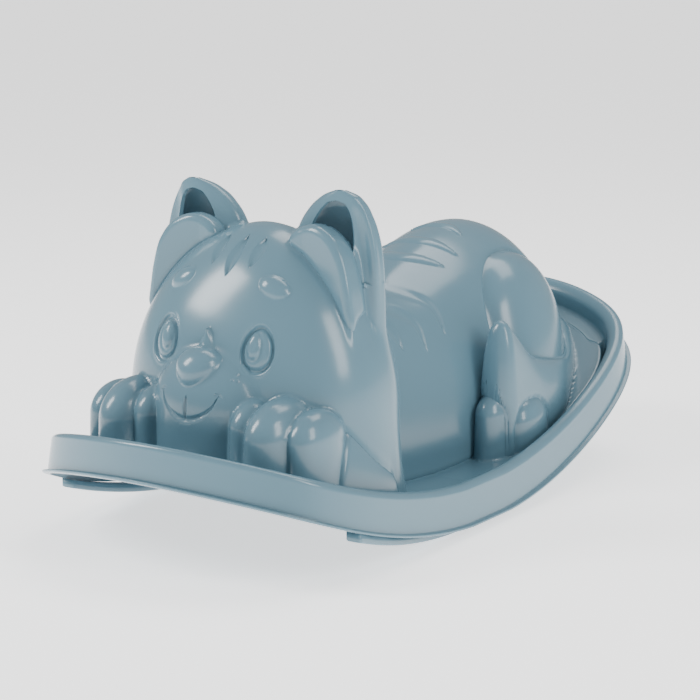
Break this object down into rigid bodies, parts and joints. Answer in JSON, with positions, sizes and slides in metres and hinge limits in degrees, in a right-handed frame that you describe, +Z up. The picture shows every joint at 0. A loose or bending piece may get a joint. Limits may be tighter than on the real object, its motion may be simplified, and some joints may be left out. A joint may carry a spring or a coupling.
{
  "type": "rocking cat ride-on toy",
  "caption": "Rocking ride-on toy: a hollow moulded cat lies on a curved rimmed tray with runners below; its back is the seat and its hollow ears are the hand grips.",
  "frame": {"origin": "centre of the object's box, at the runners' lowest line", "axes": "+Z up, the cat looks along -Y, its left side is +X"},
  "size_m": [0.376, 0.7275, 0.334],
  "materials": {
    "shell_plastic": "satin blue-grey moulded plastic"
  },
  "bodies": {
    "root": {"deck_tray": "shell_plastic", "left_runner": "shell_plastic", "right_runner": "shell_plastic", "body_shell": "shell_plastic", "head_shell": "shell_plastic", "muzzle": "shell_plastic", "left_ear_grip": "shell_plastic", "right_ear_grip": "shell_plastic", "left_ear_panel": "shell_plastic", "right_ear_panel": "shell_plastic", "left_front_paw": "shell_plastic", "right_front_paw": "shell_plastic", "left_haunch": "shell_plastic", "right_haunch": "shell_plastic", "left_hind_paw": "shell_plastic", "right_hind_paw": "shell_plastic", "tail": "shell_plastic"}
  },
  "joints": []
}
